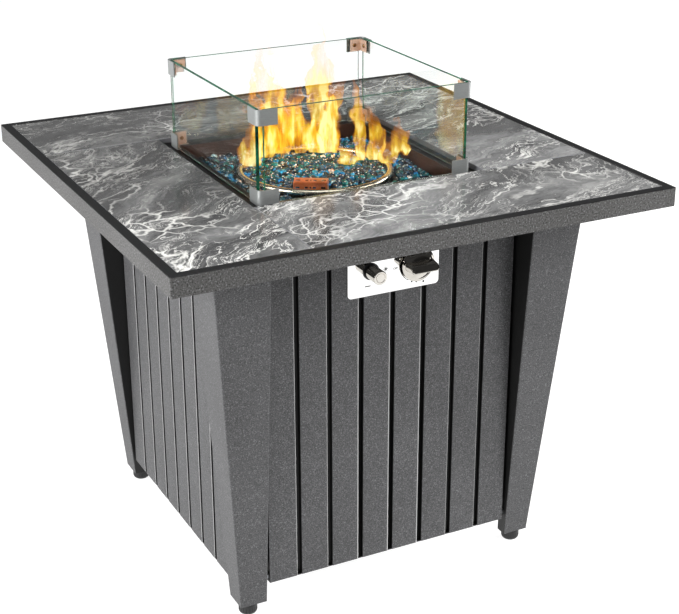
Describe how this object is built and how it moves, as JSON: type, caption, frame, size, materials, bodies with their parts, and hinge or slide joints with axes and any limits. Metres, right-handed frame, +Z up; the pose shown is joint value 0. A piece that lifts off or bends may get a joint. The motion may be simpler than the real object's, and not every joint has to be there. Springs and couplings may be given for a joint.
{
  "type": "gas fire pit table",
  "caption": "Square gas fire pit table with a tiled top, glass wind guard, slatted steel body and splayed legs.",
  "frame": {"origin": "on the floor under the centre of the table", "axes": "+Z up, front with the control plate faces -Y, +X to the right seen from the front"},
  "size_m": [0.762, 0.762, 0.7398],
  "materials": {
    "black_steel": "hammered black powder coat",
    "leg_steel": "hammered charcoal powder coat",
    "clip_metal": "satin corner clips",
    "marble_tile": "polished grey marble look with white veins",
    "stainless_steel": "spun stainless sheet",
    "polished_steel": "mirror polished stainless",
    "chrome_plate": "chromed zinc",
    "zinc_steel": "bright zinc plated steel",
    "brass": "turned brass",
    "aluminium_tube": "drawn tube",
    "copper_cover": "heat tinted copper coloured sheet",
    "white_ceramic": "unglazed alumina",
    "clear_glass": "clear toughened glass with green edges",
    "fire_glass": "crushed reflective blue green glass",
    "black_plastic": "moulded black"
  },
  "bodies": {
    "base": {"back_frame": "black_steel", "base_shelf": "black_steel", "burner_bowl": "stainless_steel", "burner_elbow": "brass", "burner_locknut": "zinc_steel", "burner_pan": "black_steel", "burner_ring": "stainless_steel", "catch_magnet": "black_plastic", "control_plate": "polished_steel", "door_pivot_pins": "zinc_steel", "fire_glass_bowl": "fire_glass", "fire_glass_pan": "fire_glass", "flame_sensor": "zinc_steel", "flange_bolts": "zinc_steel", "front_panel": "black_steel", "gas_jet": "brass", "gas_pipe": "aluminium_tube", "heat_shield": "zinc_steel", "igniter_body": "black_plastic", "igniter_cover": "copper_cover", "igniter_nut": "black_plastic", "left_panel": "black_steel", "leg_back_left": "leg_steel", "leg_back_right": "leg_steel", "leg_bolts": "zinc_steel", "leg_front_left": "leg_steel", "leg_front_right": "leg_steel", "leg_spacers": "zinc_steel", "mixing_tube": "zinc_steel", "right_panel": "black_steel", "shield_posts": "zinc_steel", "spark_electrode": "white_ceramic", "tile_back": "marble_tile", "tile_front": "marble_tile", "tile_left": "marble_tile", "tile_right": "marble_tile", "top_frame": "black_steel", "top_support_ring": "black_steel", "valve_body": "brass", "valve_screws": "zinc_steel"},
    "door": {"door_panel": "black_steel", "door_pull": "chrome_plate", "catch_striker": "zinc_steel"},
    "valve_plug": {"valve_plug": "brass"},
    "control_knob": {"control_knob": "chrome_plate", "valve_stem": "stainless_steel"},
    "igniter_button": {"igniter_button": "chrome_plate"},
    "wind_guard": {"guard_glass_front": "clear_glass", "guard_glass_right": "clear_glass", "guard_glass_back": "clear_glass", "guard_glass_left": "clear_glass", "guard_top_clips": "clip_metal", "guard_bottom_clips": "clip_metal", "guard_clip_plates": "clip_metal", "guard_screws": "zinc_steel"},
    "foot_front_left": {"foot_front_left": "black_plastic"},
    "foot_front_right": {"foot_front_right": "black_plastic"},
    "foot_back_left": {"foot_back_left": "black_plastic"},
    "foot_back_right": {"foot_back_right": "black_plastic"}
  },
  "joints": [
    {"name": "knob_turn", "type": "hinge", "parent": "base", "child": "valve_plug", "pos_m": [0.0365, -0.247, 0.512], "axis": [0, -1, 0], "range_deg": [0, 180]},
    {"name": "knob_push", "type": "slide", "parent": "valve_plug", "child": "control_knob", "axis": [0, 1, 0], "range_m": [0, 0.004], "stiffness_N_per_m": 800, "springref_m": -0.002},
    {"name": "igniter_press", "type": "slide", "parent": "base", "child": "igniter_button", "axis": [0, 1, 0], "range_m": [0, 0.003], "stiffness_N_per_m": 900, "springref_m": -0.002},
    {"name": "door_swing", "type": "hinge", "parent": "base", "child": "door", "pos_m": [-0.173, 0.241, 0.3225], "axis": [0, 0, 1], "range_deg": [0, 100]},
    {"name": "guard_lift", "type": "slide", "parent": "base", "child": "wind_guard", "axis": [0, 0, 1], "range_m": [0, 0.15]},
    {"name": "foot_front_left_turn", "type": "hinge", "parent": "base", "child": "foot_front_left", "pos_m": [-0.2295, -0.2295, 0.009], "axis": [0, 0, 1], "continuous": true},
    {"name": "foot_front_right_turn", "type": "hinge", "parent": "base", "child": "foot_front_right", "pos_m": [0.2295, -0.2295, 0.009], "axis": [0, 0, 1], "continuous": true},
    {"name": "foot_back_right_turn", "type": "hinge", "parent": "base", "child": "foot_back_right", "pos_m": [0.2295, 0.2295, 0.009], "axis": [0, 0, 1], "continuous": true},
    {"name": "foot_back_left_turn", "type": "hinge", "parent": "base", "child": "foot_back_left", "pos_m": [-0.2295, 0.2295, 0.009], "axis": [0, 0, 1], "continuous": true}
  ]
}
